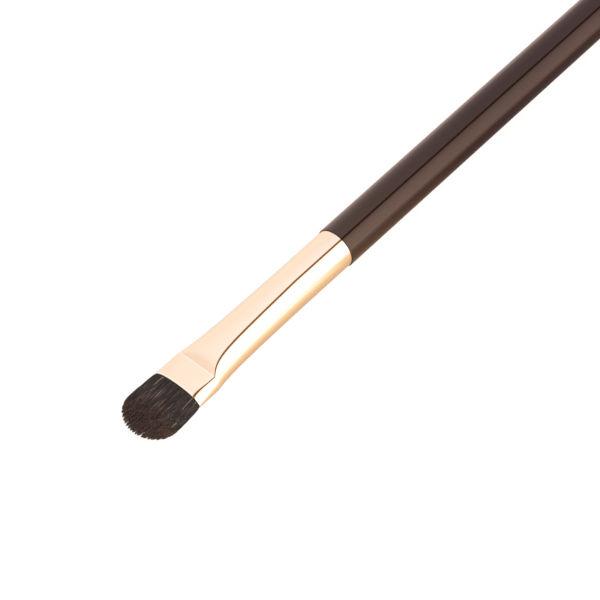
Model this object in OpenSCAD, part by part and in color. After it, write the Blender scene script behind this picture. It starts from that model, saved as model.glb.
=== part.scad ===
// Eyeshadow brush: a flat, domed tuft in a pressed metal ferrule, glued onto the
// tenon of a lacquered wooden handle. It lies along X with its tuft towards -X,
// and its handle touches the plane Z = 0. All sizes are in millimetres.

/* [Handle] */
// Length of the handle from its shoulder to the tip of its tail
handle_length = 122; // [100:1:150]
// Diameter of the straight stretch that the fingers hold
handle_d = 7.55; // [7.5:0.05:10]
// Length of the straight stretch, from the shoulder
grip_length = 72; // [50:1:80]
// Diameter where the taper ends and the rounded tail begins
tail_d = 4.6; // [3:0.1:7]
// Length of the rounded tail
tail_round = 2.8; // [1.5:0.1:5]
// Radius that the lacquer leaves on the edge of the shoulder
shoulder_round = 0.1; // [0.05:0.01:0.15]
// Thickness of the dipped lacquer coat
coat = 0.2; // [0.16:0.01:0.3]

/* [Ferrule] */
// Outer diameter of the round end of the ferrule
ferrule_d = 7.2; // [6.4:0.05:7.2]
// Thickness of the ferrule's sheet
ferrule_wall = 0.3; // [0.2:0.05:0.5]
// Length of the round barrel that takes the tenon
barrel_length = 11.5; // [8:0.5:20]
// Length over which the barrel is pressed from round to flat
flare_length = 22; // [14:0.5:30]
// Length of the flat pressed pad between the crease and the mouth
pad_length = 5; // [4:0.1:8]
// Width of the pad at the crease
crease_w = 9.3; // [8:0.05:11]
// Gap between the plates of the press at the crease, which flattens the pad there
crease_gap = 4; // [3:0.05:5]
// Width of the mouth
mouth_w = 9.7; // [8:0.05:11]
// Gap between the plates of the press at the mouth
mouth_gap = 3.9; // [3.2:0.05:5]
// Thickness that the mouth's oval has before the plates flatten it
mouth_oval = 3.7; // [3.2:0.05:5]

/* [Tuft] */
// Length of the tuft beyond the mouth
tuft_length = 10.6; // [8:0.1:16]
// Greatest width of the tuft
tuft_w = 10.3; // [9:0.05:12]
// Greatest thickness of the tuft
tuft_t = 3.8; // [3:0.05:6]
// Length of the domed end
dome_length = 4.9; // [3:0.1:5.2]
// Bundles of hair across the tuft
strands_across = 35; // [30:1:38]
// Bundles of hair through the tuft
strands_deep = 11; // [9:2:11]

/* [Hidden] */

// Values of the handle and its tenon
tail_power = 1.7;      // how slowly the taper leaves the straight stretch
taper_steps = 12;
dome_steps = 8;
handle_r = handle_d / 2;
core_r = handle_r - coat;
bore_r = ferrule_d / 2 - ferrule_wall;
glue_line = 0.1;       // radial thickness of the adhesive round the tenon
tenon_r = bore_r - glue_line;
tenon_gap = 0.4;       // the tenon stops this far short of the flare
tenon_length = barrel_length - tenon_gap;
tenon_chamfer = 0.5;
glue_short = 0.9;      // the adhesive stops this far short of the tenon's end

// Values of the ferrule
ferrule_length = barrel_length + flare_length + pad_length;
crease_oval = 6.8;     // thickness that the oval has at the crease before the plates flatten it
plates_apart = 8.65;   // the gap that the plates open towards behind the crease
plates_knee = 2.5;     // the smaller, the quicker they open
press_power = 8.5;     // the higher, the sharper the corners beside the flat faces
flare_knee = 4.55;     // the smaller, the quicker the width narrows behind the crease
crease_soft = 0.55;    // rounding of the crease at the sides
lap = 0.02;            // the flat-sided stretch starts this far within the barrel's two faces
lap_length = 0.5;      // and reaches this far into its wall
sides = 56;
pad_shares = [0, 0.35, 0.62, 0.8, 0.9, 0.96];
flare_shares = [0, 0.01, 0.025, 0.05, 0.085, 0.13, 0.19, 0.27, 0.37, 0.5, 0.66, 0.83, 1];

// Values of the tuft and of the resin at its root
root_depth = 0.5;      // from the mouth to the face of the resin
slice_length = 0.8;    // resin that the strands are fused to
plug_length = 8;       // resin behind that slice
root_clear = 0.1;      // between the tuft's root and the sheet round it
tip_share = 0.94;      // section at the very tip, as a share of the greatest one
strand_share = 0.76;   // how much of its cell a strand takes
taper_share = 0.78;    // how far past the greatest section a strand keeps its thickness
tip_scatter = 0.12;    // unevenness of the tips
tip_run = 0.9;         // the shortest strands reach this far beyond the greatest section
swell_length = tuft_length - dome_length - tip_scatter - tip_run;
scatter_seed = 7;

// Places along X
brush_length = handle_length + ferrule_length + tuft_length;
shoulder_x = brush_length / 2 - handle_length;
mouth_x = shoulder_x - ferrule_length;

// Radius of the handle at x from its shoulder: straight, then a taper whose
// slope grows from nothing, then an elliptical end.
taper_end = handle_length - tail_round;
function taper_r(x) = x < grip_length ? handle_r
    : handle_r - (handle_r - tail_d / 2) * pow((x - grip_length) / (taper_end - grip_length), tail_power);
handle_outline = concat(
    [[shoulder_round, handle_r]],
    [for (i = [0 : taper_steps])
        let (x = grip_length + (taper_end - grip_length) * i / taper_steps) [x, taper_r(x)]],
    [for (i = [1 : dome_steps])
        let (a = 90 * i / dome_steps) [taper_end + tail_round * sin(a), tail_d / 2 * cos(a)]]);

// The same outline, drawn in by the coat
core_outline = concat(
    [[0, core_r]],
    [for (i = [0 : taper_steps])
        let (x = grip_length + (taper_end - grip_length) * i / taper_steps) [x, taper_r(x) - coat]],
    [for (i = [1 : dome_steps])
        let (a = 90 * i / dome_steps)
        [taper_end + (tail_round - coat) * sin(a), (tail_d / 2 - coat) * cos(a)]]);

function reversed(list) = [for (i = [len(list) - 1 : -1 : 0]) list[i]];

// Turns an outline of [place along the brush, radius] points round the brush's axis
module turned(outline) {
    translate([shoulder_x, 0, handle_r])
        rotate([0, 90, 0])
            rotate_extrude($fn = 96)
                polygon([for (p = outline) [p[1], p[0]]]);
}

// Section of the ferrule's outside at a distance from the mouth: an oval that two plates flatten, as
// [width, thickness of the oval, gap between the plates, weight of the press]. All run straight along
// the pad. Behind the crease the width falls along a curve to the barrel's, the oval grows round, the
// plates open, and the press loses its weight, so the barrel is round.
function mixed(a, b, share) = a + (b - a) * share;
function softened(x, soft) = (x + sqrt(x * x + soft * soft)) / 2;
function flared(x) = 1 - flare_knee / (x + flare_knee) * max(0, 1 - x / flare_length);
function section(d) =
    let (pad = min(1, d / pad_length), x = max(0, d - pad_length), share = min(1, x / flare_length),
         narrowed = share == 1 ? 1 : flared(softened(d - pad_length, crease_soft * (1 - share))))
    [mixed(mixed(mouth_w, crease_w, pad), ferrule_d, narrowed),
     mixed(mixed(mouth_oval, crease_oval, pad), ferrule_d, share),
     mixed(mixed(mouth_gap, crease_gap, pad), plates_apart, x / (x + plates_knee)),
     1 - share * share];

// Radius at an angle of an oval with half sizes a and b that plates at plus and minus g flatten: its
// measure and theirs, to the power of the press, add to 1.
function pressed(angle, a, b, g, weight) =
    pow(pow(norm([cos(angle) / a, sin(angle) / b]), press_power)
        + weight * pow(abs(sin(angle)) / g, press_power), -1 / press_power);
function ring(d, inset) =
    let (s = section(d))
    [for (i = [0 : sides - 1])
        let (angle = 360 * i / sides,
             r = pressed(angle, s[0] / 2 - inset, s[1] / 2 - inset, s[2] / 2 - inset, s[3]))
        [mouth_x + d, r * cos(angle), handle_r + r * sin(angle)]];

// Joins rings of equal count into a closed solid. A hollow one runs out along the outside and
// back along the inside, so its last ring joins its first.
module skinned(rings, hollow = false) {
    n = len(rings[0]);
    bands = hollow ? len(rings) : len(rings) - 1;
    total = len(rings) * n;
    walls = [for (k = [0 : bands - 1], i = [0 : n - 1])
        let (a = k * n + i, b = k * n + (i + 1) % n)
        each [[b, a, (a + n) % total], [b, (a + n) % total, (b + n) % total]]];
    caps = hollow ? [] : [[for (i = [0 : n - 1]) i], [for (i = [n - 1 : -1 : 0]) total - n + i]];
    polyhedron(points = [for (r = rings) each r], faces = concat(walls, caps));
}

// Distances from the mouth at which the pressed stretch is measured
stations = concat(pad_shares * pad_length, [for (f = flare_shares) pad_length + f * flare_length]);

// The pressed stretch ends in two rings that lie wholly inside the barrel's wall
module ferrule() {
    sloping = [for (d = stations) if (d < ferrule_length - barrel_length) d];
    joined = [ferrule_length - barrel_length, ferrule_length - barrel_length + lap_length];
    color("#eec9a4") {
        skinned(concat(
            [for (d = sloping) ring(d, 0)],
            [for (d = joined) ring(d, lap)],
            [for (d = reversed(joined)) ring(d, ferrule_wall - lap)],
            [for (d = reversed(sloping)) ring(d, ferrule_wall)]), hollow = true);
        turned([[-barrel_length, bore_r], [-barrel_length, ferrule_d / 2], [0, ferrule_d / 2], [0, bore_r]]);
    }
}

module handle_core() {
    color("#c9a878")
        turned(concat(
            [[-tenon_length, 0], [-tenon_length, tenon_r - tenon_chamfer],
             [-tenon_length + tenon_chamfer, tenon_r], [0, tenon_r]],
            core_outline));
}

module lacquer_coat() {
    color("#4a3833")
        turned(concat(
            [[0, core_r], [0, handle_r - shoulder_round]],
            handle_outline,
            reversed([for (i = [1 : len(core_outline) - 1]) core_outline[i]])));
}

module tenon_glue() {
    color("#d8cfae")
        turned([[-tenon_length + glue_short, tenon_r], [-tenon_length + glue_short, bore_r],
                [0, bore_r], [0, tenon_r]]);
}

// The resin plug fills the ferrule from behind the strands' slice
plug_start = root_depth + slice_length;
plug_end = plug_start + plug_length;
module root_glue() {
    inside = [for (d = stations) if (d > plug_start && d < plug_end) d];
    color("#8a6a3c")
        skinned([for (d = concat([plug_start], inside, [plug_end])) ring(d, ferrule_wall)]);
}

// A point of the unit square, brought into the unit circle. The grid's lines bend evenly,
// so its cells keep about one size and no two strands cross.
function round_place(u, v) = [u * sqrt(1 - v * v / 2), v * sqrt(1 - u * u / 2)];

// Half sizes of the tuft at a distance beyond the mouth: it starts within the sheet,
// swells to its greatest section, and draws in a little towards the tip.
mouth_thickness = 2 * pressed(90, mouth_w / 2, mouth_oval / 2, mouth_gap / 2, 1);
root_half = [mouth_w, mouth_thickness] / 2 - [1, 1] * (ferrule_wall + root_clear);
swell_half = [tuft_w, tuft_t] / 2;
function tuft_half(d) = d < swell_length
    ? mixed(root_half, swell_half, (d + root_depth) / (swell_length + root_depth))
    : swell_half * mixed(1, tip_share, (d - swell_length) / (tuft_length - swell_length));

// The tips lie on a dome, the longest in the middle
function tip_reach(place, scatter) =
    tuft_length - dome_length * (1 - sqrt(max(0, 1 - place * place))) - tip_scatter * scatter;

// One closed solid: a slice of resin whose front face is a grid of cells, with a
// three-sided strand rising out of each cell.
module bristles() {
    m = strands_across;
    k = strands_deep;
    corner = [for (j = [0 : k], i = [0 : m]) round_place(2 * i / m - 1, 2 * j / k - 1)];
    function at(p, d) = let (h = tuft_half(d)) [mouth_x - d, p[0] * h[0], handle_r + p[1] * h[1]];
    front = [for (p = corner) at(p, -root_depth)];
    rim = concat([for (i = [0 : m]) i], [for (j = [1 : k]) j * (m + 1) + m],
                 [for (i = [m - 1 : -1 : 0]) k * (m + 1) + i], [for (j = [k - 1 : -1 : 1]) j * (m + 1)]);
    back = [for (c = rim) front[c] + [slice_length, 0, 0]];
    scatter = rands(0, 1, m * k, scatter_seed);
    // each strand: a foot, a ring at the greatest section, a ring where it starts to taper, and a tip
    strand = [for (j = [0 : k - 1], i = [0 : m - 1])
        let (a = j * (m + 1) + i,
             c = [corner[a], corner[a + 1], corner[a + m + 2], corner[a + m + 1]],
             middle = (c[0] + c[1] + c[2] + c[3]) / 4,
             foot = [c[0], c[1], (c[2] + c[3]) / 2],
             side = [for (f = foot) mixed(middle, f, strand_share)],
             tip = tip_reach(middle, scatter[j * m + i]))
        each concat([for (s = side) at(s, -root_depth)], [for (s = side) at(s, swell_length)],
                    [for (s = side) at(s, mixed(swell_length, tip, taper_share))], [at(middle, tip)])];
    per = 10;
    f0 = len(front);
    s0 = f0 + len(back);
    n = len(rim);
    skirt = [for (i = [0 : n - 1])
        let (a = rim[i], b = rim[(i + 1) % n], c = f0 + i, d = f0 + (i + 1) % n)
        each [[b, a, c], [b, c, d]]];
    floor_face = [[for (i = [n - 1 : -1 : 0]) f0 + i]];
    cells = [for (j = [0 : k - 1], i = [0 : m - 1])
        let (a = j * (m + 1) + i, b = a + 1, c = a + m + 2, d = a + m + 1,
             s = s0 + per * (j * m + i), p = s + 1, q = s + 2)
        each concat(
            [[a, b, p], [a, p, s], [b, c, p], [c, q, p], [c, d, q], [d, a, s], [d, s, q]],
            [for (level = [0, 3], e = [0 : 2])
                let (g = s + level + e, h = s + level + (e + 1) % 3)
                each [[g, h, h + 3], [g, h + 3, g + 3]]],
            [for (e = [0 : 2]) [s + 6 + e, s + 6 + (e + 1) % 3, s + 9]])];
    color("#3a2d2a")
        polyhedron(points = concat(front, back, strand), faces = concat(skirt, floor_face, cells));
}

bristles();
root_glue();
ferrule();
tenon_glue();
handle_core();
lacquer_coat();
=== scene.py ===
"""The looks of a flat eyeshadow brush: dark hair in a pressed gold-tone ferrule on a lacquered handle."""

import math

import bpy
import numpy as np
from mathutils import Matrix, Vector


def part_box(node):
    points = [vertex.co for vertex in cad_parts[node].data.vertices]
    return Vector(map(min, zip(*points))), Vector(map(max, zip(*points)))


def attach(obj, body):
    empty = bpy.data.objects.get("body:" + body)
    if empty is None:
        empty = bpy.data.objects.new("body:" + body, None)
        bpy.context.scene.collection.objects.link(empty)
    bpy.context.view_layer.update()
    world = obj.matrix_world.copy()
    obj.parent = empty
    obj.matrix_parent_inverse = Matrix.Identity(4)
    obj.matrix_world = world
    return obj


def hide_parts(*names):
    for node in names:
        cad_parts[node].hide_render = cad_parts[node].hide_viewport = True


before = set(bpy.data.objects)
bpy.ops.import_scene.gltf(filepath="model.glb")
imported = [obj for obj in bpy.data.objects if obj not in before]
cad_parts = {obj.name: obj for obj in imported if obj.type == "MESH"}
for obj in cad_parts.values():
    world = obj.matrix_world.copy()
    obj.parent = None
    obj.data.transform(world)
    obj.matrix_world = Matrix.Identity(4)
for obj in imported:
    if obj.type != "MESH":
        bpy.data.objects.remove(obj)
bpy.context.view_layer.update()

# Handle core: a rod of straight-grained beech, turned on a lathe, with a tenon that is glued into the
# ferrule. The lacquer hides it, so the CAD solid stays and takes the wood's finish.
MM = 0.001
BEECH_PALE = "#d2b48c"
BEECH_DARK = "#a97f55"
GRAIN_WIDTH = 0.4 * MM
GRAIN_LENGTH = 14 * MM


def linear(hex_code):
    """The linear colour, with alpha 1, of an sRGB hex code."""
    srgb = np.array([int(hex_code[i : i + 2], 16) for i in (1, 3, 5)]) / 255
    return (*np.where(srgb <= 0.04045, srgb / 12.92, ((srgb + 0.055) / 1.055) ** 2.4), 1.0)


def add(material, kind, inputs, **settings):
    """Adds a node with its settings. An input's value is a number, a colour or another node's output."""
    tree = material.node_tree
    node = tree.nodes.new(kind)
    for key, value in settings.items():
        setattr(node, key, value)
    for socket, value in inputs.items():
        if isinstance(value, bpy.types.NodeSocket):
            tree.links.new(value, node.inputs[socket])
        else:
            node.inputs[socket].default_value = value
    return node


def new_material(name):
    """A material whose node tree is empty."""
    material = bpy.data.materials.new(name)
    material.use_nodes = True
    material.node_tree.nodes.clear()
    return material


def coloured(material, share, stops):
    """The colour at a share, with straight runs between its stops. Each is a place from 0 to 1 and a linear
    colour."""
    ramp = add(material, "ShaderNodeValToRGB", {"Fac": share})
    elements = ramp.color_ramp.elements
    while len(elements) < len(stops):
        elements.new(1)
    for element, (place, colour) in zip(elements, stops):
        element.position = place
        element.color = colour
    return ramp.outputs["Color"]


def two_colours(material, share, low, high, start=0.3, end=0.7):
    """The colour that runs from one hex code to another as a share rises from start to end."""
    return coloured(material, share, [(start, linear(low)), (end, linear(high))])


def beech():
    """Turned beech: pale brown with fine grain along the rod, matt where the lacquer hasn't reached."""
    wood = new_material("turned_beech")
    place = add(wood, "ShaderNodeTexCoord", {}).outputs["Object"]
    along = (1 / GRAIN_LENGTH, 1 / GRAIN_WIDTH, 1 / GRAIN_WIDTH)
    stretched = add(wood, "ShaderNodeMapping", {"Vector": place, "Scale": along}).outputs["Vector"]
    grain = add(wood, "ShaderNodeTexNoise", {"Vector": stretched, "Scale": 1.0, "Detail": 4.0})
    colour = two_colours(wood, grain.outputs["Fac"], BEECH_DARK, BEECH_PALE)
    surface = add(wood, "ShaderNodeBsdfPrincipled", {"Base Color": colour, "Roughness": 0.6})
    add(wood, "ShaderNodeOutputMaterial", {"Surface": surface.outputs["BSDF"]})
    return wood


def dress(node, material):
    """Gives a CAD node that stays its material, in its only slot."""
    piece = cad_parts[node]
    piece.data.materials.clear()
    piece.data.materials.append(material)


dress("handle_core", beech())

# Tenon glue and root glue: the film of wood adhesive round the tenon, and the amber resin that
# the roots of the hair are set in. Both are poured or brushed in and cure inside the ferrule.
ADHESIVE_PALE = "#d9c8a0"
ADHESIVE_DARK = "#b9a377"
RESIN_PALE = "#9a6a34"
RESIN_DARK = "#5c3a1a"
CURED_PATCH = 0.8 * MM


def cured(name, dark, pale, roughness):
    """Cured resin: slightly uneven in colour, with the soft gloss that it sets with."""
    resin = new_material(name)
    place = add(resin, "ShaderNodeTexCoord", {}).outputs["Object"]
    patches = add(resin, "ShaderNodeTexNoise", {"Vector": place, "Scale": 1 / CURED_PATCH, "Detail": 3.0})
    colour = two_colours(resin, patches.outputs["Fac"], dark, pale)
    surface = add(resin, "ShaderNodeBsdfPrincipled", {"Base Color": colour, "Roughness": roughness})
    add(resin, "ShaderNodeOutputMaterial", {"Surface": surface.outputs["BSDF"]})
    return resin


dress("tenon_glue", cured("wood_adhesive", ADHESIVE_DARK, ADHESIVE_PALE, roughness=0.45))
dress("root_glue", cured("amber_resin", RESIN_DARK, RESIN_PALE, roughness=0.3))

# Lacquer: dark brown gloss lacquer that the handle is dipped in. It draws itself into a smooth skin with
# a rounded edge at the shoulder, over wood that runs straight and then tapers to a round tail.
SHOULDER_ROUND = 0.3 * MM
SHOULDER_STEP = 0.17 * MM
COAT = 0.2 * MM
GRIP_LENGTH = 72 * MM
TAIL_WIDTH = 4.6 * MM
TAIL_ROUND = 2.8 * MM
TAIL_POWER = 1.7
INSIDE_LEAST = 0.05 * MM
POLE_RADIUS = 0.01 * MM
SIDES = 192
EDGE_RINGS = 9
BODY_RINGS = 90
TAIL_RINGS = 25
LACQUER_DARK = "#1e1513"
LACQUER_PALE = "#211715"
LACQUER_GLINT = "#ffceb9"
RIPPLE_WIDTH = 2.5 * MM
CLOUD_WIDTH = 6 * MM
BUMP_DEPTH = 0.05 * MM
lacquer_low, lacquer_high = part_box("lacquer_coat")
SHOULDER_X = lacquer_low.x
HANDLE_LENGTH = lacquer_high.x - lacquer_low.x
HANDLE_RADIUS = (lacquer_high.z - lacquer_low.z) / 2
AXIS_Z = lacquer_low.z + HANDLE_RADIUS


def mesh_piece(name, points, faces, material):
    """A smooth mesh object with its place in its mesh. Faces is an array of quads or triangles."""
    mesh = bpy.data.meshes.new(name)
    corners = faces.shape[1]
    mesh.vertices.add(len(points))
    mesh.vertices.foreach_set("co", points.astype(np.float32).ravel())
    mesh.loops.add(faces.size)
    mesh.loops.foreach_set("vertex_index", faces.astype(np.int32).ravel())
    mesh.polygons.add(len(faces))
    mesh.polygons.foreach_set("loop_start", np.arange(0, faces.size, corners, dtype=np.int32))
    mesh.polygons.foreach_set("use_smooth", np.full(len(faces), True))
    mesh.update(calc_edges=True)
    mesh.validate()
    mesh.materials.append(material)
    piece = bpy.data.objects.new(name, mesh)
    bpy.context.scene.collection.objects.link(piece)
    return piece


def tube_faces(rows, columns, closed=False):
    """Quads between the rows of a tube whose columns close round. A closed one joins its last row to its
    first."""
    steps = rows if closed else rows - 1
    row, column = np.meshgrid(np.arange(steps), np.arange(columns), indexing="ij")
    after = (row + 1) % rows
    beside = (column + 1) % columns
    corners = [(row, column), (row, beside), (after, beside), (after, column)]
    return np.stack([down * columns + along for down, along in corners], axis=-1).reshape(-1, 4)


def handle_radius(x):
    """Radius at x from the shoulder: straight, then a taper that falls by a power of the share of its
    length, then an elliptical end."""
    taper_end = HANDLE_LENGTH - TAIL_ROUND
    share = np.clip((x - GRIP_LENGTH) / (taper_end - GRIP_LENGTH), 0, 1)
    taper = HANDLE_RADIUS - (HANDLE_RADIUS - TAIL_WIDTH / 2) * share**TAIL_POWER
    end = np.clip((x - taper_end) / TAIL_ROUND, 0, 1)
    return np.where(x > taper_end, TAIL_WIDTH / 2 * np.sqrt(1 - end**2), taper)


def lacquer_points():
    """The coat's outline turned round the brush's axis: along the skin from the shoulder's rounded edge to
    the tail, and back inside."""
    turn = np.linspace(0, math.pi / 2, EDGE_RINGS)
    edge_x = SHOULDER_ROUND * (1 - np.cos(turn))
    edge_r = HANDLE_RADIUS - SHOULDER_STEP * (1 - np.sin(turn))
    body = np.linspace(SHOULDER_ROUND, HANDLE_LENGTH - TAIL_ROUND, BODY_RINGS)[1:-1]
    tail = HANDLE_LENGTH - TAIL_ROUND * (1 - np.sin(np.linspace(0, math.pi / 2, TAIL_RINGS)[:-1]))
    along = np.concatenate([body, tail])
    skin = handle_radius(along)
    inside = np.concatenate([[HANDLE_RADIUS - COAT], np.maximum(skin - COAT, INSIDE_LEAST)])
    x = np.concatenate([edge_x, along, [HANDLE_LENGTH], along[::-1], [0]])
    r = np.concatenate([edge_r, skin, [POLE_RADIUS], inside[::-1]])
    angle = np.linspace(0, 2 * math.pi, SIDES, endpoint=False)
    ring = [np.broadcast_to(SHOULDER_X + x[:, None], (len(x), SIDES)),
            r[:, None] * np.cos(angle), AXIS_Z + r[:, None] * np.sin(angle)]
    return np.stack(ring, axis=-1)


def brown_lacquer():
    """Dipped nitro lacquer: almost black brown under a hard gloss that mirrors the lamps."""
    lacquer = new_material("dipped_brown_lacquer")
    place = add(lacquer, "ShaderNodeTexCoord", {}).outputs["Object"]
    ripple = add(lacquer, "ShaderNodeTexNoise", {"Vector": place, "Scale": 1 / RIPPLE_WIDTH, "Detail": 1.0})
    bump = add(lacquer, "ShaderNodeBump",
               {"Height": ripple.outputs["Fac"], "Strength": 0.02, "Distance": BUMP_DEPTH})
    cloud = add(lacquer, "ShaderNodeTexNoise", {"Vector": place, "Scale": 1 / CLOUD_WIDTH, "Detail": 2.0})
    colour = two_colours(lacquer, cloud.outputs["Fac"], LACQUER_DARK, LACQUER_PALE)
    surface = add(lacquer, "ShaderNodeBsdfPrincipled", {
        "Base Color": colour, "Roughness": 0.08, "IOR": 1.7, "Specular Tint": linear(LACQUER_GLINT),
        "Normal": bump.outputs["Normal"]})
    add(lacquer, "ShaderNodeOutputMaterial", {"Surface": surface.outputs["BSDF"]})
    return lacquer


outline = lacquer_points()
handle_lacquer = mesh_piece("handle_lacquer", outline.reshape(-1, 3),
                            tube_faces(len(outline), SIDES, closed=True), brown_lacquer())
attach(handle_lacquer, "root")
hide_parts("lacquer_coat")

# Ferrule: a seamless brass tube, plated rose gold and polished. Two plates press its front flat, which
# leaves a short level pad behind the mouth, and a crease where the flare rises to the round barrel.
PAD_LENGTH = 5 * MM
FLARE_LENGTH = 22 * MM
WALL = 0.3 * MM
MOUTH_WIDTH = 9.7 * MM
MOUTH_OVAL = 3.7 * MM
MOUTH_GAP = 3.9 * MM
CREASE_WIDTH = 9.3 * MM
CREASE_OVAL = 6.8 * MM
CREASE_GAP = 4 * MM
PLATES_APART = 8.65 * MM
PLATES_KNEE = 2.5 * MM
PRESS_POWER = 8.5
FLARE_KNEE = 4.55 * MM
CREASE_SOFT = 0.55 * MM
LIP = 0.1 * MM
BEAD_HEIGHT = 0.03 * MM
BEAD_WIDTH = 0.15 * MM
END_EDGE = 0.02 * MM
CREASE_BEAD = 0.42
PAD_RINGS = 70
FLARE_RINGS = 110
BARREL_RINGS = 12
LIP_RINGS = 11
CLOSENESS = 1.6
INSIDE_STEP = 6
PLATING = "#ffe3c9"
BEAD_HIGHLIGHT = "#fff4e4"
PRESS_WAVE = 4 * MM
WEAR_WIDTH = 1.2 * MM
ferrule_low, ferrule_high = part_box("ferrule")
MOUTH_X = ferrule_low.x
FERRULE_LENGTH = SHOULDER_X - MOUTH_X
BARREL_WIDTH = ferrule_high.z - ferrule_low.z


def mixed(a, b, share):
    """The value that runs from a to b as the share grows from 0 to 1."""
    return a + (b - a) * share


def ferrule_section(d):
    """Half sizes of the tube's oval, half the gap between the plates, and the weight of the press, at a
    distance from the mouth. All run straight along the pad. Behind the crease the width falls by
    knee / (x + knee) to the barrel's, the oval grows round, the gap opens by x / (x + knee), and the press
    loses its weight."""
    pad = np.clip(d / PAD_LENGTH, 0, 1)
    x = d - PAD_LENGTH
    behind = np.maximum(x, 0)
    share = np.clip(behind / FLARE_LENGTH, 0, 1)
    eased = (x + np.sqrt(x**2 + (CREASE_SOFT * (1 - share)) ** 2)) / 2
    narrowed = 1 - FLARE_KNEE / (eased + FLARE_KNEE) * np.clip(1 - eased / FLARE_LENGTH, 0, 1)
    width = mixed(mixed(MOUTH_WIDTH, CREASE_WIDTH, pad), BARREL_WIDTH, narrowed)
    thickness = mixed(mixed(MOUTH_OVAL, CREASE_OVAL, pad), BARREL_WIDTH, share)
    gap = mixed(mixed(MOUTH_GAP, CREASE_GAP, pad), PLATES_APART, behind / (behind + PLATES_KNEE))
    return width / 2, thickness / 2, gap / 2, 1 - share**2


def pressed(angle, width, thickness, gap, weight):
    """Radius at an angle of an oval that two plates flatten, all given as half sizes: its measure and
    theirs, each to the power of the press, add to 1."""
    oval = np.hypot(np.cos(angle) / width, np.sin(angle) / thickness) ** PRESS_POWER
    return (oval + weight * np.abs(np.sin(angle) / gap) ** PRESS_POWER) ** (-1 / PRESS_POWER)


def point_values(piece, name, values):
    """Gives a mesh a named value at each of its points."""
    piece.data.attributes.new(name, "FLOAT", "POINT").data.foreach_set("value", values.astype(np.float32))


def ferrule_points():
    """Rings of the tube: from the shoulder along the outside to the mouth, round its lip, and back inside.
    They lie closest at the crease. A fine bead runs round the mouth, and a lower one along the crease, each
    a bell curve of the distance. Also how much each ring belongs to a bead."""
    pad = PAD_LENGTH * (1 - (1 - np.linspace(0, 1, PAD_RINGS)) ** CLOSENESS)
    flare = PAD_LENGTH + FLARE_LENGTH * np.linspace(0, 1, FLARE_RINGS)[1:] ** CLOSENESS
    barrel = np.linspace(PAD_LENGTH + FLARE_LENGTH, FERRULE_LENGTH - END_EDGE, BARREL_RINGS)[1:]
    outside = np.concatenate([pad, flare, barrel, [FERRULE_LENGTH]])
    inside = np.append(outside[::INSIDE_STEP], FERRULE_LENGTH)
    turn = np.linspace(0, math.pi, LIP_RINGS)[1:-1]
    d = np.concatenate([outside[::-1], np.zeros(len(turn)), inside])
    inset = np.concatenate([0 * outside, WALL / 2 * (1 - np.cos(turn)), WALL + 0 * inside])
    forward = np.concatenate([0 * outside, LIP * np.sin(turn), 0 * inside])
    width, thickness, gap, weight = (value[:, None] for value in ferrule_section(d))
    at_mouth = np.exp(-(((np.maximum(d, LIP) - LIP) / BEAD_WIDTH) ** 2))
    at_crease = np.exp(-(((d - PAD_LENGTH) / BEAD_WIDTH + 1) ** 2))
    bead = (at_mouth + CREASE_BEAD * at_crease) * (inset < WALL / 2)
    inset = (inset - BEAD_HEIGHT * bead)[:, None]
    angle = np.linspace(0, 2 * math.pi, SIDES, endpoint=False)
    radius = pressed(angle, width - inset, thickness - inset, gap - inset, weight)
    x = np.broadcast_to((MOUTH_X + np.maximum(d, LIP) - forward)[:, None], radius.shape)
    return np.stack([x, radius * np.cos(angle), AXIS_Z + radius * np.sin(angle)], axis=-1), bead


def rose_gold():
    """Rose-gold plating on brass, polished: a pale peach mirror with faint unevenness from the press, and a
    paler line painted on the beads as a highlight."""
    gold = new_material("polished_rose_gold_plating")
    place = add(gold, "ShaderNodeTexCoord", {}).outputs["Object"]
    wave = add(gold, "ShaderNodeTexNoise", {"Vector": place, "Scale": 1 / PRESS_WAVE, "Detail": 1.0})
    bump = add(gold, "ShaderNodeBump",
               {"Height": wave.outputs["Fac"], "Strength": 0.02, "Distance": BUMP_DEPTH})
    wear = add(gold, "ShaderNodeTexNoise", {"Vector": place, "Scale": 1 / WEAR_WIDTH, "Detail": 4.0})
    rough = add(gold, "ShaderNodeMapRange",
                {"Value": wear.outputs["Fac"], "To Min": 0.06, "To Max": 0.11}).outputs["Result"]
    bead = add(gold, "ShaderNodeAttribute", {}, attribute_name="bead").outputs["Fac"]
    # Painted highlight: a paler plating colour along the beads.
    colour = two_colours(gold, bead, PLATING, BEAD_HIGHLIGHT, start=0.1, end=0.6)
    surface = add(gold, "ShaderNodeBsdfPrincipled", {
        "Base Color": colour, "Metallic": 1.0, "Roughness": rough, "Normal": bump.outputs["Normal"]})
    add(gold, "ShaderNodeOutputMaterial", {"Surface": surface.outputs["BSDF"]})
    return gold


# The rings set out towards the mouth and not the tail, so their quads are turned to face outwards.
rings, beads = ferrule_points()
ferrule_tube = mesh_piece("ferrule_tube", rings.reshape(-1, 3),
                          tube_faces(len(rings), SIDES, closed=True)[:, ::-1], rose_gold())
# The bead mask also carries the plating's painted highlight.
point_values(ferrule_tube, "bead", np.repeat(beads, SIDES))
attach(ferrule_tube, "root")
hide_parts("ferrule")

# Hair: some thousands of fine dark brown hairs with tapered tips, cupped into a dome before their roots
# are set in resin. They crowd over the edge of the mouth, swell beyond it, and part into thin slanted
# leaves with ragged ends. Hairs and streaks are too fine to show, so both are drawn coarser than real.
HAIR_WIDTH = 0.08 * MM
ROOT_DEPTH = 0.5 * MM
ROOT_CLEAR = 0.06 * MM
CROWD_OUT = 0.08 * MM
TUFT_LENGTH = 10.4 * MM
DOME_LENGTH = 4.88 * MM
DOME_POWER = 2.18
SWELL_LENGTH = 7.4 * MM
TUFT = np.array([5.15, 1.85]) * MM
TIP_SHARE = 0.92
LEAN = 0.15 * MM
LEAN_LENGTH = 2.25 * MM
LEAVES = 25
LEAF = 0.5 * MM
LEAF_SHAKE = 0.1
LEAF_SLANT = math.radians(27)
RIM_POWER = 6
STEPPED = 0.65
TOOTH = 0.62 * MM
TOOTH_LEVEL = 0.25
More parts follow.
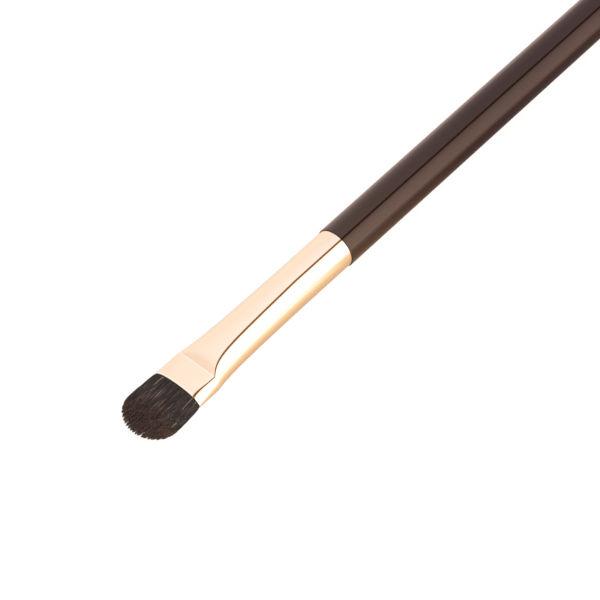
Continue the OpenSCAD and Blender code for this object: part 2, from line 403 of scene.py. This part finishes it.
GATHER = 0.35 * MM
GATHERED = 0.2
UNEVEN = 0.05 * MM
WAVES = [(5.5 * MM, 0.045 * MM), (2.6 * MM, 0.016 * MM)]
LOOSE_AT_ROOT = 0.2
LOOSE_LENGTH = 3 * MM
TAPER_LENGTH = 2 * MM
TAPER_POWER = 0.6
TAPER_LEAST = 0.1
COARSENESS = (0.75, 1.25)
CELL_MARGIN = 0.1
CAP_LEVEL = 0.04
STREAK_LENGTH = 3 * MM
STREAK_WIDTH = 0.11 * MM
STREAK_SHARE = 0.6
SHADE_SHARE = 0.4
# Painted shade: how much darker the colour grows per metre towards the roots.
ROOT_SHADE = -7
HAIR_STOPS = [(0.30, "#0d0a09"), (0.50, "#1d1411"), (0.60, "#43312a"), (0.72, "#937160")]
PALE_HAIR = "#b3988a"
PALE_FROM = 0.99
PALE_COARSE = 1.5
# Chestnut tips: the dye holds least there, and painted light shows through the thin ends.
CHESTNUT_TIP = "#735448"
CHESTNUT_LENGTH = 0.25 * MM
SHEEN_TINT = "#ffe6d8"
NEAR_LIP = np.array([-ROOT_DEPTH, -0.01 * MM, 0.05 * MM, 0.13 * MM, 0.5 * MM])
mouth = [float(value[0]) for value in ferrule_section(np.zeros(1))]
MOUTH = np.array([float(pressed(turned, *mouth)) for turned in (0, math.pi / 2)])
random = np.random.default_rng(11)


def tuft_half(d):
    """Half sizes of the tuft at a distance from the mouth. Just outside, it grows from the sheet's inside
    to its outside by 1 - exp(-d / crowd). Then it swells as a quarter of a sine wave, and draws in by the
    square of the share of the rest."""
    out = np.maximum(d, 0)[..., None]
    back = np.clip((d - SWELL_LENGTH) / (TUFT_LENGTH - SWELL_LENGTH), 0, 1)[..., None]
    swollen = (TUFT - MOUTH) * np.sin(np.clip(out / SWELL_LENGTH, 0, 1) * math.pi / 2)
    half = MOUTH - (WALL + ROOT_CLEAR) * np.exp(-out / CROWD_OUT) + swollen
    return half * (1 - (1 - TIP_SHARE) * back**2)


def as_mouth(place):
    """Moves places in the unit circle outwards, as far as the mouth's pressed outline passes the plain
    oval."""
    spin = np.arctan2(place[:, 1] * MOUTH[1], place[:, 0] * MOUTH[0])
    plain = 1 / np.hypot(np.cos(spin) / MOUTH[0], np.sin(spin) / MOUTH[1])
    return place * (pressed(spin, *mouth) / plain)[:, None]


def scattered(count, inner, outer):
    """Places spread evenly over the ring between two radii of the unit circle."""
    spin = random.uniform(0, 2 * math.pi, count)
    radius = np.sqrt(random.uniform(inner**2, outer**2, count))
    return np.stack([radius * np.cos(spin), radius * np.sin(spin)], axis=-1)


def dome(place):
    """How far beyond the mouth a hair reaches from a place at radius r in the unit circle: the tuft's
    length, less the dome's times 1 - (1 - r ** n) ** (1 / n)."""
    r = np.clip(np.hypot(place[:, 0], place[:, 1]), 0, 1)
    return TUFT_LENGTH - DOME_LENGTH * (1 - (1 - r**DOME_POWER) ** (1 / DOME_POWER))


leaves = (np.arange(LEAVES) - LEAVES // 2 + random.normal(0, LEAF_SHAKE, LEAVES)) * LEAF
across_leaves = np.array([math.cos(LEAF_SLANT), math.sin(LEAF_SLANT)])


def hair_points(place, near, beyond, shades):
    """Three-sided hairs from the resin to the dome, with some rings near the lip and the rest evenly
    beyond. Each belongs to the leaf whose middle is nearest. Inside the tuft's rim it reaches as far as the
    dome does part of the way to that middle, more by a tooth that falls with the distance from it, and less
    by chance. It keeps its place in the oval but for two slow waves, the tuft's lean, and a gathering of
    the tips to their leaf's middle. It thins to its tip, and the few pale hairs are coarser. Also how far
    each ring is from the tip."""
    hairs = len(place)
    away = (place * TUFT @ across_leaves)[:, None] - leaves
    away = away[np.arange(hairs), np.abs(away).argmin(axis=1)]
    inner = 1 - np.hypot(place[:, 0], place[:, 1]) ** RIM_POWER
    tooth = TOOTH * inner * (TOOTH_LEVEL - np.abs(away) / LEAF)
    stepped = place - STEPPED * (inner * away)[:, None] * across_leaves / TUFT
    reach = dome(stepped) + tooth - np.abs(random.normal(0, UNEVEN, hairs))
    share = np.linspace(0, 1, beyond + 1)[1:]
    d = np.concatenate([np.broadcast_to(near, (hairs, len(near))),
                        near[-1] + (reach[:, None] - near[-1]) * share], axis=1)
    to_tip = reach[:, None] - d
    gathered = GATHERED * np.clip(1 - to_tip / GATHER, 0, 1) ** 2 * inner[:, None]
    at = as_mouth(place)[:, None] * tuft_half(d)
    at -= (gathered * away[:, None])[..., None] * across_leaves
    at[..., 0] -= LEAN * (1 - np.exp(-np.maximum(d, 0) / LEAN_LENGTH))
    loose = np.clip(LOOSE_AT_ROOT + (d + ROOT_DEPTH) / LOOSE_LENGTH, 0, 1)[..., None]
    for length, sway in WAVES:
        phase = random.uniform(0, 2 * math.pi, (hairs, 1, 2))
        at += sway * loose * np.sin(2 * math.pi * d[..., None] / length + phase)
    thin = np.clip(to_tip / TAPER_LENGTH, TAPER_LEAST, 1) ** TAPER_POWER
    coarse = random.uniform(*COARSENESS, hairs) * np.where(shades > PALE_FROM, PALE_COARSE, 1)
    width = HAIR_WIDTH / 2 * coarse[:, None] * thin
    turn = random.uniform(0, 2 * math.pi, (hairs, 1, 1)) + np.arange(3) * 2 * math.pi / 3
    y = at[..., :1] + width[..., None] * np.cos(turn)
    z = at[..., 1:] + width[..., None] * np.sin(turn)
    x = np.broadcast_to((MOUTH_X - d)[..., None], y.shape)
    return np.stack([x, y, AXIS_Z + z], axis=-1), to_tip


def map_cells(piece, hairs, sides, levels):
    """A map that gives each hair one cell of a square grid, with a margin: its corners' sides run across
    the cell, and their levels, from 0 at the root to 1 at the tip, up it."""
    across = math.ceil(math.sqrt(hairs))
    cell = np.arange(hairs)[:, None]
    used = 1 - 2 * CELL_MARGIN
    u = (cell % across + CELL_MARGIN + used * sides / 3) / across
    v = (cell // across + CELL_MARGIN + used * levels) / across
    places = np.stack([u, v], axis=-1).astype(np.float32)
    piece.data.uv_layers.new(name="OFBake").data.foreach_set("uv", places.ravel())


def halved(quads, ends):
    """Values at the corners of quads, as two triangles each, and then those of the two end caps."""
    return np.concatenate([quads[:, [0, 2, 1]], quads[:, [0, 3, 2]], ends])


def hair_piece(name, hairs, inner, outer, near, beyond, material):
    """One layer of the tuft, between two radii of the unit circle, as a mesh with attributes for each
    hair's shade and each point's distance to the tip. End caps lie in the margins of the hairs' cells."""
    shades = random.uniform(0, 1, hairs)
    points, to_tip = hair_points(scattered(hairs, inner, outer), near, beyond, shades)
    rings = len(near) + beyond
    last = rings * 3 - 1
    quads = tube_faces(rings, 3)
    one = halved(quads, [[0, 1, 2], [last, last - 1, last - 2]])
    first = np.arange(hairs)[:, None, None] * rings * 3
    piece = mesh_piece(name, points.reshape(-1, 3), (one + first).reshape(-1, 3), material)
    sides = np.tile([[0, 1, 1, 0], [1, 2, 2, 1], [2, 3, 3, 2]], (rings - 1, 1))
    cap = CAP_LEVEL * np.array([1, 2, 1])
    map_cells(piece, hairs, halved(sides, [[0, 1, 2], [2, 1, 0]]).ravel(),
              halved(quads // 3 / (rings - 1), [-cap, 1 + cap]).ravel())
    point_values(piece, "shade", np.repeat(shades, rings * 3))
    point_values(piece, "to_tip", np.repeat(to_tip, 3))
    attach(piece, "root")
    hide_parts("bristles")


def dark_hair():
    """Soft natural hair, dyed dark brown, each hair of its own shade: fine lighter streaks, partly hairs of
    a lighter shade and partly painted highlights where the hairs' surface catches the light, with painted
    shade between them, a few pale hairs, painted shade that darkens the colour towards the roots, and
    chestnut tips, where the dye holds least and painted light shows through the thin ends."""
    hair = new_material("dyed_brown_hair")
    place = add(hair, "ShaderNodeTexCoord", {}).outputs["Object"]
    # The streak noise paints highlights where the hairs' surface catches the light, and shade between them.
    along = (1 / STREAK_LENGTH, 1 / STREAK_WIDTH, 1 / STREAK_WIDTH)
    stretched = add(hair, "ShaderNodeMapping", {"Vector": place, "Scale": along}).outputs["Vector"]
    streak = add(hair, "ShaderNodeTexNoise", {"Vector": stretched, "Scale": 1.0, "Detail": 2.0})
    shade = add(hair, "ShaderNodeAttribute", {}, attribute_name="shade").outputs["Fac"]
    to_tip = add(hair, "ShaderNodeAttribute", {}, attribute_name="to_tip").outputs["Fac"]
    # Chestnut tips, partly painted light that shows through the thin ends.
    tip = add(hair, "ShaderNodeMapRange", {"Value": to_tip, "From Min": CHESTNUT_LENGTH, "From Max": 0.0})
    # Painted shade that darkens the colour towards the roots.
    darker = add(hair, "ShaderNodeMath", {0: to_tip, 1: ROOT_SHADE}, operation="MULTIPLY")
    streaked = add(hair, "ShaderNodeMath",
                   {0: streak.outputs["Fac"], 1: STREAK_SHARE, 2: darker.outputs[0]},
                   operation="MULTIPLY_ADD")
    share = add(hair, "ShaderNodeMath", {0: shade, 1: SHADE_SHARE, 2: streaked.outputs[0]},
                operation="MULTIPLY_ADD")
    dyed = coloured(hair, share.outputs[0], [(stop, linear(hex_code)) for stop, hex_code in HAIR_STOPS])
    pale = add(hair, "ShaderNodeMath", {0: shade, 1: PALE_FROM}, operation="GREATER_THAN")
    strands = add(hair, "ShaderNodeMix", {"Factor": pale.outputs[0], "A": dyed, "B": linear(PALE_HAIR)},
                  data_type="RGBA")
    colour = add(hair, "ShaderNodeMix", {"Factor": tip.outputs["Result"], "A": strands.outputs["Result"],
                                         "B": linear(CHESTNUT_TIP)}, data_type="RGBA")
    surface = add(hair, "ShaderNodeBsdfPrincipled",
                  {"Base Color": colour.outputs["Result"], "Roughness": 0.5, "IOR": 1.5,
                   "Sheen Weight": 0.12, "Sheen Roughness": 0.4, "Sheen Tint": linear(SHEEN_TINT)})
    add(hair, "ShaderNodeOutputMaterial", {"Surface": surface.outputs["BSDF"]})
    return hair


# From the core outwards: hairs, inner and outer radius, rings near the lip, and rings beyond it.
hair_material = dark_hair()
hair_piece("hair_core", 4000, 0, 0.7, NEAR_LIP[[0, 3]], 4, hair_material)
hair_piece("hair_middle", 3600, 0.7, 0.88, NEAR_LIP[[0, 3]], 6, hair_material)
hair_piece("hair_outer", 3400, 0.88, 0.95, NEAR_LIP, 5, hair_material)
hair_piece("hair_skin", 3200, 0.95, 1, NEAR_LIP, 6, hair_material)

# Studio: white paper under the brush, a white room that is dimmer towards the tail, and on the near side
# one large softbox. The black edge of its frame draws the thin dark line along the metal and the lacquer.
FRAME_PIXELS = 600
FOCAL_PIXELS = 2725
SHOULDER_PIXEL = (335.07, 248.64)
SENSOR = 36
NEAREST = 10 * MM
CAMERA_DISTANCE = 450 * MM
CAMERA_AZIMUTH = math.radians(-49.02)
CAMERA_ELEVATION = math.radians(51.86)

joint = Vector((SHOULDER_X, 0, AXIS_Z))
back = Vector((math.sin(CAMERA_AZIMUTH) * math.cos(CAMERA_ELEVATION),
               -math.cos(CAMERA_AZIMUTH) * math.cos(CAMERA_ELEVATION), math.sin(CAMERA_ELEVATION)))
right = (-back).cross(Vector((0, 0, 1))).normalized()
up = right.cross(-back)
across = (SHOULDER_PIXEL[0] - FRAME_PIXELS / 2) / FOCAL_PIXELS * CAMERA_DISTANCE
above = -(SHOULDER_PIXEL[1] - FRAME_PIXELS / 2) / FOCAL_PIXELS * CAMERA_DISTANCE
camera_data = bpy.data.cameras.new("camera")
camera_data.sensor_width = SENSOR
camera_data.lens = FOCAL_PIXELS * SENSOR / FRAME_PIXELS
camera_data.clip_start = NEAREST
camera = bpy.data.objects.new("camera", camera_data)
stand = joint + back * CAMERA_DISTANCE - right * across - up * above
camera.matrix_world = Matrix.Translation(stand) @ Matrix((right, up, back)).transposed().to_4x4()
bpy.context.scene.collection.objects.link(camera)
bpy.context.scene.camera = camera

# Each stop of the paper is a distance in millimetres across the brush, below 0 on the near side, and the
# linear tint painted there for metal and lacquer to mirror: painted light on the near side, and the
# brush's painted shadow and warm bounced light close to it. The tint runs over from one list to the next
# behind the shoulder.
FLOOR_HALF = 1200 * MM
PAPER_SPAN = (-60, 20)
PAPER_SHADE_BY_METAL = [
    (-60, (2, 2, 2)), (-34, (2, 2, 2)), (-20, (1.3, 1.22, 1.12)), (-12, (1.05, 0.96, 0.76)),
    (-8, (0.96, 0.72, 0.44)), (-4, (0.7, 0.54, 0.36)), (4, (0.7, 0.54, 0.36)), (14, (1, 1, 1))]
PAPER_SHADE_BY_HANDLE = [
    (-60, (1.7, 1.4, 1.2)), (-34, (1.7, 1.4, 1.2)), (-20, (1.1, 0.85, 0.67)), (-12, (0.89, 0.67, 0.46)),
    (-8, (0.82, 0.5, 0.26)), (-4, (0.6, 0.38, 0.22)), (4, (0.6, 0.38, 0.22)), (14, (1.3, 1, 0.92))]
PAPER_SHADE_BY_TAIL = [
    (-60, (1.5, 1.2, 1)), (-34, (1.4, 1.1, 0.95)), (-20, (0.6, 0.42, 0.4)), (-12, (0.38, 0.24, 0.24)),
    (-8, (0.3, 0.17, 0.15)), (-4, (0.25, 0.15, 0.14)), (4, (0.4, 0.25, 0.2)), (14, (1.3, 1, 0.92))]
TO_HANDLE = (1 * MM, 7 * MM)
TO_TAIL = (7 * MM, 35 * MM)
PAPER_MATT = (0.85, 0.85, 0.85, 1)
PAPER_WHITE = 1.1
PAPER_LIFT = 0.85
BRIGHTEST = 2.5


def banded(material, value, stops, span, unit=1):
    """Colours by a value, with straight runs between the stops. These and the span are given in a unit. The
    colours are brought under 1, as a ramp needs, and brought back by the strength of what they light."""
    low, high = (end * unit for end in span)
    share = add(material, "ShaderNodeMapRange", {"Value": value, "From Min": low, "From Max": high})
    return coloured(material, share.outputs["Result"],
                    [((place * unit - low) / (high - low), (*(np.array(colour) / BRIGHTEST), 1))
                     for place, colour in stops])


def looked_at(material):
    """1 for a ray from the camera, or one that metal or glass sends on, and 0 for the light on matt
    surfaces. Also 1 for the camera's own rays alone."""
    path = add(material, "ShaderNodeLightPath", {}).outputs
    either = add(material, "ShaderNodeMath", {0: path["Is Camera Ray"], 1: path["Is Glossy Ray"]},
                 operation="MAXIMUM")
    seen = add(material, "ShaderNodeMath", {0: either.outputs[0], 1: path["Is Transmission Ray"]},
               operation="MAXIMUM")
    return seen.outputs[0], path["Is Camera Ray"]


def white_paper():
    """White paper: matt, lifted to plain white where it is seen, and in what metal and lacquer mirror
    painted
    light and shade: the brush's painted shadow and warm bounced light close to it, darker beside the handle
    than beside the metal."""
    paper = new_material("white_paper")
    seen, by_camera = looked_at(paper)
    place = add(paper, "ShaderNodeTexCoord", {}).outputs["Object"]
    way = add(paper, "ShaderNodeSeparateXYZ", {"Vector": place}).outputs
    # Painted shadow and bounce light of the brush, seen only in what metal and lacquer mirror.
    tint = banded(paper, way["Y"], PAPER_SHADE_BY_METAL, PAPER_SPAN, MM)
    for stops, (start, end) in ((PAPER_SHADE_BY_HANDLE, TO_HANDLE), (PAPER_SHADE_BY_TAIL, TO_TAIL)):
        beside = banded(paper, way["Y"], stops, PAPER_SPAN, MM)
        share = add(paper, "ShaderNodeMapRange",
                    {"Value": way["X"], "From Min": SHOULDER_X + start, "From Max": SHOULDER_X + end})
        tint = add(paper, "ShaderNodeMix", {"Factor": share.outputs["Result"], "A": tint, "B": beside},
                   data_type="RGBA").outputs["Result"]
    white = (*[PAPER_WHITE / BRIGHTEST] * 3, 1)
    colour = add(paper, "ShaderNodeMix", {"Factor": by_camera, "A": tint, "B": white}, data_type="RGBA")
    glow = add(paper, "ShaderNodeEmission", {"Color": colour.outputs["Result"], "Strength": BRIGHTEST})
    matt = add(paper, "ShaderNodeBsdfDiffuse", {"Color": PAPER_MATT})
    lift = add(paper, "ShaderNodeMath", {0: seen, 1: PAPER_LIFT}, operation="MULTIPLY")
    surface = add(paper, "ShaderNodeMixShader",
                  {0: lift.outputs[0], 1: matt.outputs[0], 2: glow.outputs[0]})
    add(paper, "ShaderNodeOutputMaterial", {"Surface": surface.outputs[0]})
    return paper


corners = [(-FLOOR_HALF, -FLOOR_HALF, 0), (FLOOR_HALF, -FLOOR_HALF, 0),
           (FLOOR_HALF, FLOOR_HALF, 0), (-FLOOR_HALF, FLOOR_HALF, 0)]
floor_mesh = bpy.data.meshes.new("floor")
floor_mesh.from_pydata(corners, [], [(0, 1, 2, 3)])
floor_mesh.materials.append(white_paper())
floor = bpy.data.objects.new("floor", floor_mesh)
bpy.context.scene.collection.objects.link(floor)

# The room's colour in a direction is the product of three lists. Tilt is its angle in degrees from straight
# up towards the near side, lean is its X plus a share of its Y, and far is its X alone.
TILT_SPAN = (-90, 90)
ROOM_TILT = [
    (-90, (1.15, 1, 0.95)), (-60, (1.08, 1, 0.98)), (-45, (1, 1.01, 1.05)), (-27, (1.03, 1.05, 1.11)),
    (-5, (1.08, 1.105, 1.2)), (8.4, (1.12, 1.14, 1.26)), (9.3, (0.7, 0.42, 0.22)), (10.1, (0.2, 0.1, 0.05)),
    (17.9, (0.2, 0.1, 0.05)), (19, (0.7, 0.42, 0.22)), (20.1, (1.1, 1.05, 1)), (21.8, (1.5, 1.5, 1.5)),
    (38, (2.1, 2.1, 2.1)), (59, (2.4, 2.4, 2.4)), (85, (2.4, 2.4, 2.4))]
LEAN_SPAN = (-0.1, 1)
LEAN_SHARE = 0.5
ROOM_LEAN = [
    (-0.1, (0.93, 0.88, 0.82)), (0.2, (0.98, 0.97, 0.945)), (0.35, (1, 0.995, 0.99)), (0.8, (1, 1, 1)),
    (1, (1.06, 1.06, 1.06))]
FAR_SPAN = (0.45, 0.6)
ROOM_FAR = [
    (0.485, (1, 1, 1)), (0.51, (0.86, 0.85, 0.87)), (0.53, (0.78, 0.76, 0.79)), (0.56, (0.68, 0.66, 0.7))]
ROOM_LEVEL = 0.7


def white_room():
    """The room: white where the camera looks at it, the three lists in what metal and lacquer mirror, and
    the same at a lower level in the light on matt surfaces."""
    room = bpy.data.worlds.new("white_room")
    room.use_nodes = True
    room.node_tree.nodes.clear()
    seen, by_camera = looked_at(room)
    direction = add(room, "ShaderNodeTexCoord", {}).outputs["Generated"]
    way = add(room, "ShaderNodeSeparateXYZ", {"Vector": direction}).outputs
    nearer = add(room, "ShaderNodeMath", {0: way["Y"], 1: -1.0}, operation="MULTIPLY")
    tilt = add(room, "ShaderNodeMath", {0: nearer.outputs[0], 1: way["Z"]}, operation="ARCTAN2")
    bands = banded(room, tilt.outputs[0], ROOM_TILT, TILT_SPAN, math.radians(1))
    leaning = add(room, "ShaderNodeMath", {0: way["Y"], 1: LEAN_SHARE, 2: way["X"]},
                  operation="MULTIPLY_ADD")
    lean = banded(room, leaning.outputs[0], ROOM_LEAN, LEAN_SPAN)
    far = banded(room, way["X"], ROOM_FAR, FAR_SPAN)
    both = add(room, "ShaderNodeVectorMath", {0: lean, 1: far}, operation="MULTIPLY")
    all_three = add(room, "ShaderNodeVectorMath", {0: bands, 1: both.outputs[0]}, operation="MULTIPLY")
    lit = add(room, "ShaderNodeVectorMath", {0: all_three.outputs[0], "Scale": BRIGHTEST**2},
              operation="SCALE")
    white = (*[1 / BRIGHTEST] * 3, 1)
    colour = add(room, "ShaderNodeMix", {"Factor": by_camera, "A": lit.outputs[0], "B": white},
                 data_type="RGBA")
    level = add(room, "ShaderNodeMapRange",
                {"Value": seen, "To Min": ROOM_LEVEL * BRIGHTEST, "To Max": BRIGHTEST})
    light = add(room, "ShaderNodeBackground",
                {"Color": colour.outputs["Result"], "Strength": level.outputs["Result"]})
    add(room, "ShaderNodeOutputWorld", {"Surface": light.outputs["Background"]})
    return room


bpy.context.scene.world = white_room()

bpy.context.scene.view_settings.view_transform = "Standard"
